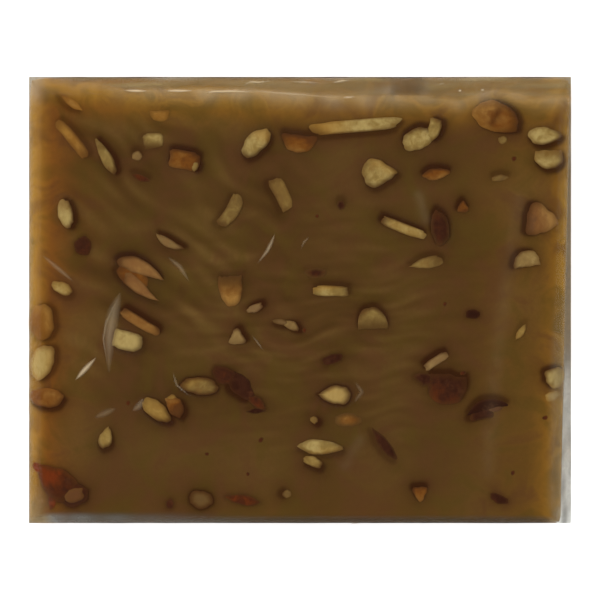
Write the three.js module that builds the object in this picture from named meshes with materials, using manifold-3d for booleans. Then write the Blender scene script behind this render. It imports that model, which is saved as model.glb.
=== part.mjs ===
// A slab of nut halva, sealed in clear film: the film's outer form as one closed solid.
import * as THREE from "three";
import { mergeVertices } from "three/addons/utils/BufferGeometryUtils.js";
import Module from "manifold-3d";

const wasm = await Module();
wasm.setup();
const { clamp, degToRad, euclideanModulo } = THREE.MathUtils;

// Driving dimensions in millimetres. The origin is under the middle of the film rim, and +Y is the back.
const slabHeight = 22;
const walls = { left: -73.6, right: 73.6, front: -60.4, back: 60.6 };
const edgeRadius = { left: 4.5, right: 4, front: 2.5, back: 6.5 };
const footRadius = 1.2;
const cornerRound = 0.45; // the slab's corners in plan: 0 is square and 1 is a full round
const rightLean = 2.8; // how far the right wall comes in towards the front
const rim = { width: 150, depth: 123.5, corner: 1.5, thickness: 0.8, above: 1 };
const fold = { width: 2.6, height: 1.5, bury: 0.4 };
const nutBury = 1.6; // how deep a nut piece goes into the slab
const nutSink = 0.15; // how far a nut's widest line lies under the surface
const plateau = 0.6; // below 1, nut pieces get flat tops and steep sides
const nutWaves = { coarse: 0.04, fine: 0.03 }; // how uneven a nut's outline is, as shares of its size
const facetShare = 0.4; // how straight-sided a wedge is: 0 is round and 1 is a triangle
const chipUneven = 0.6; // how much of a chip's outline is broken: 0 is round
const chipRound = 0.92; // reach of a chip's round share
const wallNut = {
  spacing: 11,
  rise: 0.5,
  lowest: 5,
  clearance: 2.5, // kept free under the rounded edge
  wander: 3, // how far along the wall a piece strays from even spacing
  length: { least: 4.5, range: 5 },
  width: { least: 2.6, range: 2.2 },
  turn: 60, // degrees
};

// Mesh fineness.
const cornerSteps = 6;
const edgeSteps = 5;
const footSteps = 2;
const nutRows = 4;
const nutSides = { long: 12, short: 8 };
const longNut = 7; // millimetres
const foldSteps = 40;

// The flat middle of the top, inside the rounded edges.
const core = {
  left: walls.left + edgeRadius.left,
  right: walls.right - edgeRadius.right,
  front: walls.front + edgeRadius.front,
  back: walls.back - edgeRadius.back,
};

// The gathered fold of film that runs along the back edge, as points in plan.
const foldLine = [
  [-65, 59.0], [-55, 57.9], [-47.6, 56.6], [-12, 56.4], [0, 55.3], [10, 54.8], [32, 54.7],
  [43, 53.6], [46, 54.7], [52.5, 56.3], [59.5, 55.2], [63.5, 54.1], [67, 54.3],
];

// Nut pieces that show on the top: outline, x, y, length, width, turn in degrees, rise above the slab,
// and how far the bowed ones are bowed.
const blanchedNuts = [
  ["stick", 14.9, 47.1, 24.4, 3.5, 5, 0.7],
  ["oval", 32.0, 43.6, 9.2, 5.8, 22, 0.9],
  ["stick", 36.2, 46.3, 6.0, 3.5, 70, 0.8, 0.4],
  ["drop", 21.6, 34.4, 9.7, 7.6, 0, 0.9],
  ["oval", -11.9, 42.5, 9.7, 5.4, 45, 0.9],
  ["stick", -18.7, 24.1, 9.6, 3.7, 58, 0.6, 0.6],
  ["stick", -5.1, 28.7, 9.4, 4.0, -64, 0.6, -0.5],
  ["drop", 66.6, 44.5, 9.4, 5.0, 0, 0.8, 0.4],
  ["half", 67.4, 37.9, 7.8, 5.1, 180, 0.8],
  ["oval", -63.4, 23.4, 8.0, 4.1, -78, 0.8, 0.3],
  ["drop", -52.8, 39.2, 11.0, 3.2, 119, 0.6],
  ["stick", -39.8, 43.1, 5.4, 4.2, 8, 0.5],
  ["oval", -44.1, 39.0, 2.8, 2.6, 0, 0.4],
  ["oval", -28.4, 36.2, 2.0, 2.8, -15, 0.9],
  ["boat", -35.4, 15.6, 8.6, 2.3, -28, 0.5, 0.7],
  ["oval", -64.4, 3.2, 6.0, 3.3, -25, 0.5],
  ["stick", -46.8, -11.0, 8.1, 5.2, -15, 1.0],
  ["oval", -69.8, -16.8, 9.8, 6.4, 68, 0.8],
  ["drop", -52.5, -37.1, 6.0, 3.8, 75, 0.7],
  ["oval", -38.9, -29.8, 9.2, 4.6, -38, 0.9],
  ["oval", -27.1, -23.3, 10.3, 4.8, -5, 0.8],
  ["wedge", -17.0, -10.2, 5.4, 5.0, 90, 0.6],
  ["boat", -5.0, -6.0, 5.4, 1.7, -10, 0.4],
  ["chip", -2.3, -7.0, 5.0, 2.5, -25, 0.5, -0.4],
  ["stick", 27.9, 19.5, 12.7, 2.7, -21, 0.7],
  ["stick", 8.4, 2.4, 9.6, 2.9, -2, 0.6],
  ["drop", 34.1, 10.0, 9.2, 3.3, 191, 0.5],
  ["half", 19.5, -4.9, 8.1, 5.9, 0, 0.7],
  ["half", 61.3, 11.2, 7.2, 4.4, 10, 0.6],
  ["boat", 59.8, -8.7, 4.9, 1.9, 57, 0.5],
  ["stick", 36.8, -16.5, 7.3, 2.3, 33, 0.5],
  ["drop", 9.2, -25.7, 8.9, 5.4, 178, 0.9],
  ["boat", 5.4, -39.8, 12.7, 4.1, -3, 0.8],
  ["chip", 3.5, -43.8, 5.7, 3.0, -20, 0.6],
  ["chip", 69.2, -21.0, 6.0, 6.2, 0, 0.7],
  ["chip", 68.4, -26.0, 4.8, 2.8, 20, 0.3],
  ["chip", -12.2, -2.2, 4.9, 2.4, 25, 0.5],
  ["chip", 54.9, 43.3, 2.7, 2.4, 0, 0.4],
  ["chip", 54.1, 33.0, 5.1, 1.9, 8, 0.4],
  ["chip", 3.8, -32.5, 2.4, 2.2, 0, 0.4],
  ["chip", -3.5, -52.5, 2.7, 2.4, 0, 0.4],
  ["chip", -34.7, -26.9, 3.2, 2.6, 0, 0.5],
  ["oval", -26.8, -54.0, 6.5, 4.9, -12, 0.4],
];
const toastedNuts = [
  ["oval", 53.0, 49.5, 13.0, 8.1, -20, 1.0],
  ["wedge", 64.9, 21.7, 10.4, 10.6, -12, 0.8],
  ["stick", -31.4, 37.9, 8.4, 5.2, -10, 0.8],
  ["half", -0.3, 42.3, 9.4, 4.8, 174, 0.8],
  ["drop", -42.9, 8.4, 13.6, 4.4, -23, 0.9, -1.1],
  ["drop", -43.2, 3.4, 12.2, 3.6, -40, 0.8, 0.7],
  ["oval", -45.2, 6.3, 9.4, 6.0, -34, 0.6],
  ["stick", -43.3, -6.0, 11.9, 2.8, -31, 0.6],
  ["oval", -69.9, -6.0, 9.7, 7.0, 90, 0.8],
  ["oval", -68.6, -26.4, 9.4, 5.2, -4, 0.7],
  ["half", -18.7, 2.3, 6.6, 8.4, 180, 0.8],
  ["chip", -33.8, -28.9, 6.8, 4.6, -50, 0.7],
  ["wedge", 32.5, -52.2, 5.0, 4.6, -90, 0.6],
  ["oval", 13.0, -32.5, 7.5, 3.8, 0, 0.3],
  ["wedge", 44.1, 25.0, 3.8, 3.6, 90, 0.5],
  ["boat", 36.8, 34.1, 7.8, 3.2, 8, 0.6],
  ["stick", -61.7, 43.6, 12.6, 3.0, -50, 0.3],
  ["boat", -61.9, 53.4, 7.4, 2.0, -36, 0.3],
  ["half", -37.9, 49.8, 5.4, 3.0, 180, 0.3],
  ["chip", -61.0, -52.8, 6.6, 4.6, 12, 0.9],
];
const darkNuts = [
  ["oval", 37.9, 19.4, 9.6, 5.0, 98, 0.8],
  ["oval", -58.7, 14.6, 5.2, 4.7, 90, 0.5],
  ["chip", -20.6, -20.4, 7.6, 5.0, -25, 0.4],
  ["chip", -15.8, -23.4, 9.6, 5.2, -48, 0.6],
  ["boat", -11.8, -27.6, 6.4, 2.8, -38, 0.4],
  ["half", 39.6, -24.4, 10.8, 8.4, 172, 0.4],
  ["boat", 50.6, -28.9, 11.4, 3.0, 14, 0.5, -1.3],
  ["half", 49.2, -30.7, 6.6, 3.2, 14, 0.4],
  ["boat", 52.9, -29.5, 4.4, 1.5, 12, 0.4],
  ["drop", -66.2, -49.0, 13.4, 8.6, 139, 0.8],
  ["boat", 23.0, -39.3, 11.0, 2.8, -52, 0.4],
  ["chip", 8.9, -16.0, 6.2, 2.9, 15, 0.4],
  ["chip", 46.8, -3.8, 4.3, 2.7, 0, 0.4],
  ["boat", -43.0, 33.0, 5.4, 1.8, -20, 0.3],
  ["chip", 11.1, 25.7, 2.9, 2.4, 90, 0.3],
  ["boat", -15.4, -54.1, 9.7, 2.9, -10, 0.4],
  ["chip", 53.8, -53.8, 5.6, 2.6, -20, 0.4],
  ["boat", -11.9, -30.0, 5.4, 1.6, 4, 0.3],
  ["oval", 4.3, 7.3, 6.0, 2.8, 0, 0.3],
  ["oval", -35.2, -55.2, 2.9, 2.2, 80, 0.3],
  ["chip", 33.8, -21.4, 6.2, 3.6, -20, 0.3],
  ["chip", -61.2, -52.4, 9.0, 7.4, -8, 0.6],
  ["boat", -66.9, -54.0, 5.8, 2.4, 78, 0.5],
  ["oval", -71.0, -45.3, 3.4, 2.4, -35, 0.5],
];

// A power that keeps the sign, for square-ended outlines.
function signedPower(value, power) {
  return Math.sign(value) * Math.abs(value) ** power;
}

// An even spread of numbers from 0 to 1, one for each whole number.
function spread(index, step) {
  return (index * step) % 1;
}

// Reach of an uneven six-sided chip at an angle, different for each chip.
function chipReach(angle, index) {
  let reach = 1.1;
  for (let side = 0; side < 6; side += 1) {
    const facing = (Math.PI / 3) * side + 0.6 * (spread(5 * index + side, 0.414) - 0.5);
    const away = 0.76 + 0.24 * spread(7 * index + side, 0.618);
    reach = Math.min(reach, away / Math.max(Math.cos(angle - facing), 0.2));
  }
  return reach;
}

// Unit outlines of the nut pieces at an angle round them. Each reaches about 1 both ways.
const outlines = {
  oval: (angle) => [Math.cos(angle), Math.sin(angle)],
  drop: (angle) => [Math.cos(angle), 1.3 * Math.sin(angle) * Math.abs(Math.sin(angle / 2))],
  boat: (angle) => [Math.cos(angle), signedPower(Math.sin(angle), 1.6)],
  stick: (angle) => [signedPower(Math.cos(angle), 0.5), signedPower(Math.sin(angle), 0.5)],
  half: (angle) => [Math.cos(angle), (Math.max(Math.sin(angle), -0.35) - 0.325) / 0.675],
  wedge: (angle) => {
    const facet = Math.min(1, 0.58 / Math.cos(euclideanModulo(angle, (2 * Math.PI) / 3) - Math.PI / 3));
    const rounded = 0.85 + 0.15 * Math.cos(3 * angle);
    const reach = facetShare * facet + (1 - facetShare) * rounded;
    return [reach * Math.cos(angle), reach * Math.sin(angle)];
  },
  chip: (angle, index) => {
    const reach = (1 - chipUneven) * chipRound + chipUneven * chipReach(angle, index);
    return [reach * Math.cos(angle), reach * Math.sin(angle)];
  },
};

// Edge radius of the slab towards a direction in plan, blended round the corners.
function radiusTowards(nx, ny) {
  const side = nx < 0 ? edgeRadius.left : edgeRadius.right;
  const end = ny < 0 ? edgeRadius.front : edgeRadius.back;
  return side * nx * nx + end * ny * ny;
}

// How far the slab is narrowed at a point by its leaning right wall.
function leanAt(x, y) {
  const across = clamp((x - walls.left) / (walls.right - walls.left), 0, 1);
  const forward = clamp((walls.back - y) / (walls.back - walls.front), 0, 1);
  return rightLean * across * forward;
}

// Height of the slab's top over a point in plan, down its rounded edges too.
function heightAt(x, y) {
  const straightX = x + leanAt(x, y);
  const dx = straightX - clamp(straightX, core.left, core.right);
  const dy = y - clamp(y, core.front, core.back);
  const reach = Math.hypot(dx, dy);
  if (reach === 0) {
    return slabHeight;
  }
  const radius = radiusTowards(dx / reach, dy / reach);
  return slabHeight - radius + Math.sqrt(Math.max(radius * radius - reach * reach, 0));
}

// One ring of points round the slab. place gives the reach and height for an edge radius.
function slabRing(place) {
  const corners = [
    [core.right, core.back, 0],
    [core.left, core.back, 90],
    [core.left, core.front, 180],
    [core.right, core.front, 270],
  ];
  const points = [];
  for (const [cornerX, cornerY, start] of corners) {
    for (let step = 0; step <= cornerSteps; step += 1) {
      const angle = degToRad(start + (90 * step) / cornerSteps);
      const [outX, outY] = [Math.cos(angle), Math.sin(angle)];
      const square = Math.max(Math.abs(outX), Math.abs(outY));
      const [squareX, squareY] = [outX / square, outY / square];
      const [sideReach] = place(radiusTowards(Math.sign(outX), 0));
      const [endReach] = place(radiusTowards(0, Math.sign(outY)));
      const x = cornerX + squareX * Math.sqrt(1 - (cornerRound * squareY ** 2) / 2) * sideReach;
      const y = cornerY + squareY * Math.sqrt(1 - (cornerRound * squareX ** 2) / 2) * endReach;
      const [, height] = place(radiusTowards(outX, outY));
      points.push([x - leanAt(x, y), y, height]);
    }
  }
  return points;
}

// A closed surface through rings of equal length, with a fan over each end.
function loft(rings) {
  const count = rings[0].length;
  const mean = (ring, axis) => ring.reduce((sum, point) => sum + point[axis], 0) / count;
  const middle = (ring) => [0, 1, 2].map((axis) => mean(ring, axis));
  const vertices = [...rings.flat(), middle(rings[0]), middle(rings.at(-1))];
  const lowMiddle = rings.length * count;
  const highMiddle = lowMiddle + 1;
  const highStart = (rings.length - 1) * count;
  const faces = [];
  for (let step = 0; step < count; step += 1) {
    const next = (step + 1) % count;
    for (let row = 0; row < rings.length - 1; row += 1) {
      const low = row * count;
      const high = low + count;
      faces.push(low + step, low + next, high + next, low + step, high + next, high + step);
    }
    faces.push(lowMiddle, next, step, highMiddle, highStart + step, highStart + next);
  }
  const geometry = new THREE.BufferGeometry();
  geometry.setAttribute("position", new THREE.Float32BufferAttribute(vertices.flat(), 3));
  geometry.setIndex(faces);
  return geometry;
}

// The slab: rounded foot, upright walls, and top edges of their own radius on each side.
function slabGeometry() {
  const rings = [];
  for (let step = 0; step <= footSteps; step += 1) {
    const angle = (Math.PI / 2) * (step / footSteps);
    rings.push(slabRing((radius) => [
      radius - footRadius * (1 - Math.sin(angle)),
      footRadius * (1 - Math.cos(angle)),
    ]));
  }
  for (let step = 0; step <= edgeSteps; step += 1) {
    const angle = (Math.PI / 2) * (step / edgeSteps);
    rings.push(slabRing((radius) => [
      radius * Math.cos(angle),
      slabHeight - radius * (1 - Math.sin(angle)),
    ]));
  }
  return loft(rings);
}

// The flat rim where the upper and lower films are sealed together.
function rimGeometry() {
  const x = rim.width / 2;
  const y = rim.depth / 2;
  const outline = new THREE.Shape();
  outline.moveTo(rim.corner - x, -y);
  outline.lineTo(x - rim.corner, -y);
  outline.quadraticCurveTo(x, -y, x, rim.corner - y);
  outline.lineTo(x, y - rim.corner);
  outline.quadraticCurveTo(x, y, x - rim.corner, y);
  outline.lineTo(rim.corner - x, y);
  outline.quadraticCurveTo(-x, y, -x, y - rim.corner);
  outline.lineTo(-x, rim.corner - y);
  outline.quadraticCurveTo(-x, -y, rim.corner - x, -y);
  const geometry = new THREE.ExtrudeGeometry(outline, {
    depth: rim.thickness,
    curveSegments: 4,
    bevelEnabled: false,
  });
  return geometry.translate(0, 0, rim.above);
}

// The gathered fold: a flat-sided ridge that follows the rounded back edge.
function foldGeometry() {
  const points = foldLine.map(([x, y]) => new THREE.Vector3(x, y, heightAt(x, y) - fold.bury));
  const section = new THREE.Shape();
  section.absellipse(0, 0, fold.height / 2, fold.width / 2, 0, 2 * Math.PI);
  return new THREE.ExtrudeGeometry(section, {
    steps: foldSteps,
    curveSegments: 4,
    extrudePath: new THREE.CatmullRomCurve3(points),
    bevelEnabled: false,
  });
}

// A nut piece: a ball pulled into an outline, domed above the surface, with a little waviness of its own.
// place puts a point, given along, across and out of the surface, where the nut sits.
function nutGeometry([outline, length, width, turn, rise, bend = 0], index, place) {
  const sides = length > longNut ? nutSides.long : nutSides.short;
  const geometry = new THREE.SphereGeometry(1, sides, nutRows).rotateX(Math.PI / 2);
  const position = geometry.getAttribute("position");
  for (let corner = 0; corner < position.count; corner += 1) {
    const ball = new THREE.Vector3().fromBufferAttribute(position, corner);
    const angle = Math.atan2(ball.y, ball.x);
    const [unitX, unitY] = outlines[outline](angle, index);
    const coarse = nutWaves.coarse * Math.sin(3 * angle + 2.4 * index);
    const fine = nutWaves.fine * Math.sin(5 * angle + 1.7 * index);
    const reach = Math.hypot(ball.x, ball.y) ** plateau * (1 + coarse + fine);
    const bow = bend * ((unitX * reach) ** 2 - 0.4);
    const flat = new THREE.Vector2((unitX * reach * length) / 2, (unitY * reach * width) / 2 + bow);
    flat.rotateAround(new THREE.Vector2(), degToRad(turn));
    const out = ball.z > 0 ? rise * ball.z ** plateau : nutBury * ball.z;
    position.setXYZ(corner, ...place(flat.x, flat.y, out - nutSink));
  }
  return geometry;
}

// A nut piece on the top, following the slab's surface.
function topNut([outline, x, y, ...form], index) {
  return nutGeometry([outline, ...form], index, (along, across, out) => [
    x + along,
    y + across,
    heightAt(x + along, y + across) + out,
  ]);
}

// Cut nut pieces that show in the four walls, spread evenly along each.
function wallNuts() {
  const kinds = ["oval", "chip", "boat", "half"];
  const sides = [
    { x: (walls.left + walls.right) / 2, y: walls.front, facing: -90, run: core.right - core.left },
    { x: walls.right, y: (walls.front + walls.back) / 2, facing: 0, run: core.back - core.front },
    { x: (walls.left + walls.right) / 2, y: walls.back, facing: 90, run: core.right - core.left },
    { x: walls.left, y: (walls.front + walls.back) / 2, facing: 180, run: core.back - core.front },
  ];
  const nuts = [];
  for (const side of sides) {
    const outX = Math.round(Math.cos(degToRad(side.facing)));
    const outY = Math.round(Math.sin(degToRad(side.facing)));
    const highest = slabHeight - radiusTowards(outX, outY) - wallNut.clearance;
    const count = Math.floor(side.run / wallNut.spacing);
    for (let step = 0; step < count; step += 1) {
      const index = nuts.length + 1;
      const even = (step + 0.5 - count / 2) * (side.run / count);
      const start = even + wallNut.wander * (spread(index, 0.755) - 0.5);
      const height = wallNut.lowest + (highest - wallNut.lowest) * spread(index, 0.618);
      const length = wallNut.length.least + wallNut.length.range * spread(index, 0.414);
      const width = wallNut.width.least + wallNut.width.range * spread(index, 0.732);
      const turn = wallNut.turn * (spread(index, 0.236) - 0.5);
      const kind = kinds[index % kinds.length];
      nuts.push(nutGeometry([kind, length, width, turn, wallNut.rise], index, (along, across, out) => {
        const x = side.x - outY * (start + along) + outX * out;
        const y = side.y + outX * (start + along) + outY * out;
        return [x - leanAt(x, y), y, height + across];
      }));
    }
  }
  return nuts;
}

// A closed geometry as a solid that can be joined.
function solidOf(geometry) {
  geometry.deleteAttribute("normal");
  geometry.deleteAttribute("uv");
  const merged = mergeVertices(geometry, 1e-4);
  return new wasm.Manifold(new wasm.Mesh({
    numProp: 3,
    vertProperties: new Float32Array(merged.getAttribute("position").array),
    triVerts: new Uint32Array(merged.getIndex().array),
  }));
}

// A solid as a geometry that can be shown.
function geometryOf(solid) {
  const mesh = solid.getMesh();
  const geometry = new THREE.BufferGeometry();
  geometry.setAttribute("position", new THREE.BufferAttribute(mesh.vertProperties, 3));
  geometry.setIndex(new THREE.BufferAttribute(mesh.triVerts, 1));
  geometry.computeVertexNormals();
  return geometry;
}

const pieces = [
  slabGeometry(),
  rimGeometry(),
  foldGeometry(),
  ...[...blanchedNuts, ...toastedNuts, ...darkNuts].map(topNut),
  ...wallNuts(),
];
const whole = wasm.Manifold.union(pieces.map(solidOf));

const group = new THREE.Group();
const halvaPack = new THREE.Mesh(
  geometryOf(whole),
  new THREE.MeshStandardMaterial({ color: 0x5a401e, roughness: 0.3, metalness: 0 }),
);
halvaPack.name = "halva_pack";
group.add(halvaPack);

export default group;
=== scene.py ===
from dataclasses import dataclass
from functools import partial
from math import atan2, cos, degrees, hypot, pi, radians, sin, sqrt
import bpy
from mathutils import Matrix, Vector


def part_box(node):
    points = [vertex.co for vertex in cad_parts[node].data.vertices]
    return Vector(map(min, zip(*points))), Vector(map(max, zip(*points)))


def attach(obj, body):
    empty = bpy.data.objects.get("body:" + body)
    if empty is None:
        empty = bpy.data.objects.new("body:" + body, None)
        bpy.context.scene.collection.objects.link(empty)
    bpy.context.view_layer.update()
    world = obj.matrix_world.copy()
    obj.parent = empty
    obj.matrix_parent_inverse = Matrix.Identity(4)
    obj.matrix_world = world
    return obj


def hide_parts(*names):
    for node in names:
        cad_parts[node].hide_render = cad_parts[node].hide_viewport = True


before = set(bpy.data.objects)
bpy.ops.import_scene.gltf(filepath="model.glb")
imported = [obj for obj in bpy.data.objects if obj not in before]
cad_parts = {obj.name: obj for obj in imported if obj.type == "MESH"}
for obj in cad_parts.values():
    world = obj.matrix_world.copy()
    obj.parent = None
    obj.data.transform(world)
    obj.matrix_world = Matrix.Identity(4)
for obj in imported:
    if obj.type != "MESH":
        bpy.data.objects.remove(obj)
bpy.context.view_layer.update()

from types import SimpleNamespace

import bpy
import numpy as np

# Every length below is in millimetres, in the frame's own axes. MM turns it into metres.
MM = 0.001
NODE = "halva_pack"
BODY = "root"

# The slab, as in the solid that it replaces.
SLAB_HEIGHT = 22
WALLS = SimpleNamespace(left=-73.6, right=73.6, front=-60.4, back=60.6)
EDGE_RADIUS = SimpleNamespace(left=4.5, right=4, front=2.5, back=6.5)
FOOT_RADIUS = 1.2
CORNER_ROUND = 0.45
RIGHT_LEAN = 2.8
CORE = SimpleNamespace(
    left=WALLS.left + EDGE_RADIUS.left,
    right=WALLS.right - EDGE_RADIUS.right,
    front=WALLS.front + EDGE_RADIUS.front,
    back=WALLS.back - EDGE_RADIUS.back,
)

# The film: where its rim ends, how high the rim lies, and the room it leaves over the sweet.
RIM_X, RIM_Y = [float(value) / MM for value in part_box(NODE)[1][:2]]
RIM_HEIGHT = 1.4
RIM_GAP = 0.05
RIM_FILLET = 0.8
FILM_GAP = 0.15

# Nuts. They stand less proud than in the solid, because the film over them is modelled here.
NUT_SHOWN = 0.6
NUT_BURY = 1.6
NUT_SINK = 0.22
NUT_DOME = 0.6
NUT_TAPER = 0.94
NUT_TILT = 0.3
NUT_GRAIN = 0.04
GROOVE_WIDTH = 0.9
GROOVE_DEPTH = 0.5
WEDGE_FACET = 0.4
CHIP_UNEVEN = 0.6
CHIP_ROUND = 0.92

# Waves in a nut's outline: how many go round it, their depth, and their shift from nut to nut.
NUT_WAVES = [(3, 0.04, 2.4), (5, 0.03, 1.7), (8, 0.02, 2.9), (11, 0.015, 1.3)]

# Nuts in the walls and the underside: the least and most of what differs, and their kinds in turn.
WALL_NUT = SimpleNamespace(
    outlines=["oval", "chip", "boat", "half"], length=(4.5, 9.5), width=(2.6, 4.8), turn=(-30, 30),
    rise=0.5, cover=(0, 0.3), spacing=11, wander=(-1.5, 1.5), lowest=5, clearance=2.5,
)
UNDER_NUT = SimpleNamespace(
    outlines=["oval", "drop", "stick", "chip", "boat", "half", "wedge"], length=(4, 11), width=(2.6, 5.8),
    turn=(0, 360), rise=0.3, cover=(0, 0.4), count=42,
)
KIND_ORDER = ["blanched", "toasted", "blanched", "dark", "blanched"]

# Fineness of the meshes. A sheet has cells along its core, across it, and over each edge.
HALVA_CELLS = (262, 214, 24)
UPPER_FILM_CELLS = (236, 190, 44)
LOWER_FILM_CELLS = (70, 56, 16)
NUT_SEGMENTS = 44
NUT_RINGS = 11
OUTLINE_POINTS = 28
CREASE_STEPS = 24

# The photograph's view: straight down, with the rim as wide in it as in the photo.
PICTURE_PIXELS = 600
RIM_PIXELS = 542
CAMERA_HEIGHT = 920
SENSOR = 36

# The floor and the light: the sky's levels by height, how it grows to the left and back, and a soft light.
FLOOR_HALF = 3000
FLOOR_LEVEL = -0.5
SKY_STRENGTH = 1.15
SKY_LEVELS = [(0, 0.9), (0.5, 1), (0.8, 0.95), (0.9, 0.2), (0.96, 0.02)]
SKY_SLANT = (-0.16, 0.08, 0)
SOFTBOX = SimpleNamespace(x=-1200, y=500, z=1100, width=1800, depth=1000, power=10)


@dataclass
class Nut:
    """One nut piece: its outline, place, size and turn in degrees, and its looks.

    tone goes from dull to bright, and cover is how much sweet veils it. Towards its way, in degrees,
    the tone falls by drop, the cover grows by veil and it melts into the sweet by melt. fade does that
    all round its edge. ring is how strong a painted shadow is on the sweet beside it and on its own edge,
    towards dark in degrees, or all round it where dark is None. bend bows it, blush turns it pinkish,
    and split is the direction of a groove, which is painted shaded.
    """
    outline: str
    x: float
    y: float
    length: float
    width: float
    turn: float
    rise: float
    tone: float = 0.6
    cover: float = 0.0
    way: float = 0.0
    drop: float = 0.0
    veil: float = 0.0
    melt: float = 0.0
    fade: float = 0.45
    dark: float | None = 90.0
    ring: float = 0.6
    bend: float = 0.0
    blush: float = 0.0
    split: float | None = None

    @property
    def height(self):
        """How far it stands out of the sweet."""
        return NUT_SHOWN * self.rise


BLANCHED = [
    Nut("stick", 14.9, 47.1, 24.4, 3.5, 5, 0.7, 0.9, way=185, veil=0.75, dark=-90, ring=0.8),
    Nut("oval", 32, 43.6, 9.2, 5.8, 22, 0.9, 0.8, dark=85, ring=1),
    Nut("stick", 36.2, 46.3, 6, 3.5, 70, 0.8, 0.6, dark=0, ring=1, bend=0.4),
    Nut("drop", 21.6, 34.4, 9.7, 7.6, 0, 0.9, 0.8, way=60, veil=0.45, dark=-60, ring=0.8),
    Nut("oval", -11.9, 42.5, 9.7, 5.4, 45, 0.9, 0.95, way=60, veil=0.5, dark=-60, ring=0.9),
    Nut("stick", -18.7, 24.1, 9.6, 3.7, 58, 0.6, 0.4, dark=200, bend=0.6),
    Nut("stick", -5.1, 28.7, 9.4, 4, -64, 0.6, 0.3, 0.1, dark=190, bend=-0.5),
    Nut("drop", 66.6, 44.5, 9.4, 5, 0, 0.8, 0.85, dark=-60, ring=1, bend=0.4),
    Nut("half", 67.4, 37.9, 7.8, 5.1, 180, 0.8, 0.8, way=90, melt=0.75, dark=-60, ring=1),
    Nut("oval", -63.4, 23.4, 8, 4.1, -78, 0.8, 1, way=100, melt=0.6, dark=0, ring=1, bend=0.3),
    Nut("drop", -52.8, 39.2, 11, 3.2, 119, 0.6, 0.65, way=119, melt=0.7, dark=10, ring=1),
    Nut("stick", -39.8, 43.1, 5.4, 4.2, 8, 0.5, 0.7, way=-90, melt=0.95, fade=0.5, dark=200, ring=0.4),
    Nut("oval", -44.1, 39, 2.8, 2.6, 0, 0.4, 0.4, fade=0.5, blush=0.3),
    Nut("oval", -28.4, 36.2, 2, 2.8, -15, 0.9, 0.5, dark=0, ring=1),
    Nut("boat", -35.4, 15.6, 8.6, 2.3, -28, 0.5, 0.3, dark=40, ring=1, bend=0.7, blush=0.3),
    Nut("oval", -64.4, 3.2, 6, 3.3, -25, 0.5, 0.8, 0.2, dark=-60),
    Nut("stick", -46.8, -11, 8.1, 5.2, -15, 1, 1.1, dark=-40),
    Nut("oval", -69.8, -16.8, 9.8, 6.4, 68, 0.8, 1, 0.15, veil=0.3, dark=0, ring=0.8),
    Nut("drop", -52.5, -37.1, 6, 3.8, 75, 0.7, 0.75, 0.1, dark=-70, ring=0.9),
    Nut("oval", -38.9, -29.8, 9.2, 4.6, -38, 0.9, 0.6, 0.35, dark=-45, ring=1),
    Nut("oval", -27.1, -23.3, 10.3, 4.8, -5, 0.8, 0.35, way=120, veil=0.3, dark=None, ring=1),
    Nut("wedge", -17, -10.2, 5.4, 5, 90, 0.6, 0.65, way=-100, melt=0.4, dark=40, ring=1, blush=0.4),
    Nut("boat", -5, -6, 5.4, 1.7, -10, 0.4, -0.2, fade=0.85, dark=-60, ring=0.8, blush=0.2),
    Nut("chip", -2.3, -7, 5, 2.5, -25, 0.5, 0.4, dark=-20, ring=1, bend=-0.4, blush=0.3),
    Nut("stick", 27.9, 19.5, 12.7, 2.7, -21, 0.7, 0.8, 0.2, dark=120, ring=1),
    Nut("stick", 8.4, 2.4, 9.6, 2.9, -2, 0.6, 0.65, way=100, veil=0.45, dark=60, ring=0.7),
    Nut("drop", 34.1, 10, 9.2, 3.3, 191, 0.5, 0.45, melt=0.6, fade=0.5, dark=100),
    Nut("half", 19.5, -4.9, 8.1, 5.9, 0, 0.7, 0.5, way=-90, melt=0.9, fade=0.5, ring=0.9),
    Nut("half", 61.3, 11.2, 7.2, 4.4, 10, 0.6, 0.65, dark=160, ring=1, blush=0.3),
    Nut("boat", 59.8, -8.7, 4.9, 1.9, 57, 0.5, 0.5, 0.2, ring=0.4),
    Nut("stick", 36.8, -16.5, 7.3, 2.3, 33, 0.5, 0.55, dark=120, ring=1, blush=0.5),
    Nut("drop", 9.2, -25.7, 8.9, 5.4, 178, 0.9, 1.1, 0.3, dark=None, ring=1),
    Nut("boat", 5.4, -39.8, 12.7, 4.1, -3, 0.8, 0.8, way=-80, veil=0.3, dark=-70),
    Nut("chip", 3.5, -43.8, 5.7, 3, -20, 0.6, 0.65, 0.1, dark=-60, ring=0.9),
    Nut("chip", 69.2, -21, 6, 6.2, 0, 0.7, 0.9, dark=150, ring=1),
    Nut("chip", 68.4, -26, 4.8, 2.8, 20, 0.3, 0.9, fade=0.7, ring=0.1, blush=0.4),
    Nut("chip", -12.2, -2.2, 4.9, 2.4, 25, 0.5, 0.2, dark=45, ring=1, blush=0.5),
    Nut("chip", 54.9, 43.3, 2.7, 2.4, 0, 0.4, 0.35, fade=0.5, ring=0.4),
    Nut("chip", 54.1, 33, 5.1, 1.9, 8, 0.4, 0.15, fade=0.5),
    Nut("chip", 3.8, -32.5, 2.4, 2.2, 0, 0.4, 0.2, 0.1, dark=-30, ring=1),
    Nut("chip", -3.5, -52.5, 2.7, 2.4, 0, 0.4, 0.1, fade=0.5, dark=170, ring=0.8),
    Nut("chip", -34.7, -26.9, 3.2, 2.6, 0, 0.5, 0.3, 0.4, fade=0.5, ring=0.3),
    Nut("oval", -26.8, -54, 6.5, 4.9, -12, 0.4, -0.2, fade=0.85, dark=None, ring=1),
]
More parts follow.
